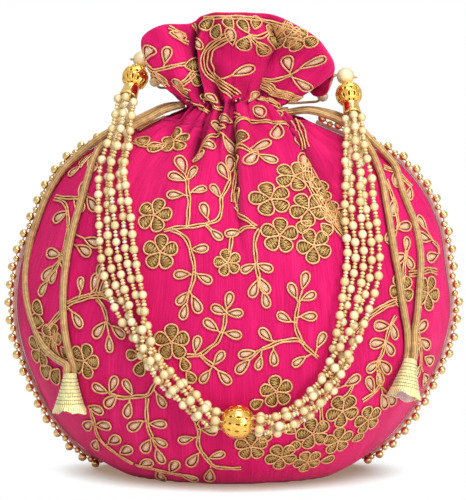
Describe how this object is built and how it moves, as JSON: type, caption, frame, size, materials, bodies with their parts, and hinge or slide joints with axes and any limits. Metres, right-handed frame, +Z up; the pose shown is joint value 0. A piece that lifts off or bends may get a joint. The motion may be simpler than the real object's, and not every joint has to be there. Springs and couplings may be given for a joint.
{
  "type": "potli bag",
  "caption": "Drawstring pouch of embroidered raw silk with a ruffled mouth, a beaded seam, brocade bells on its cords and a swinging handle of pearl strands.",
  "frame": {"origin": "middle of the flat patch of the base that the bag stands on, on the floor", "axes": "+Z up from the floor to the frill's rim, -Y out of the front where the handle hangs, +X to the right seen from the front"},
  "size_m": [0.2298, 0.1235, 0.2321],
  "materials": {
    "raw_silk": "satin",
    "lining_satin": "satin",
    "gold_plate": "polished",
    "trim_gold": "satin",
    "gold_cord": "twisted metallic thread",
    "brocade": "metallic weave",
    "pearl": "pearlescent"
  },
  "bodies": {
    "bag": {"front_panel": "raw_silk", "back_panel": "raw_silk", "lining": "lining_satin", "beaded_trim": "trim_gold", "drawstring_left_1": "gold_cord", "drawstring_left_2": "gold_cord", "drawstring_right_1": "gold_cord", "drawstring_right_2": "gold_cord", "drawstring_left_in_casing": "gold_cord", "drawstring_right_in_casing": "gold_cord", "tie_left": "gold_cord", "tie_right": "gold_cord", "bell_left": "brocade", "bell_right": "brocade", "tie_pearl_left": "pearl", "tie_pearl_right": "pearl"},
    "handle": {"hinge_pearl_left": "pearl", "hinge_pearl_right": "pearl", "end_ball_left": "gold_plate", "end_ball_right": "gold_plate", "cap_left": "gold_plate", "cap_right": "gold_plate", "hanger_left": "gold_cord", "hanger_right": "gold_cord", "centre_ball": "gold_plate", "pearl_strand_1": "pearl", "pearl_strand_2": "pearl", "pearl_strand_3": "pearl", "pearl_strand_4": "pearl", "pearl_strand_5": "pearl"}
  },
  "joints": [
    {"name": "handle_swing", "type": "hinge", "parent": "bag", "child": "handle", "pos_m": [0.00385, 0.006, 0.2043], "axis": [-0.9968, 0, 0.0796], "range_deg": [0, 290]}
  ]
}
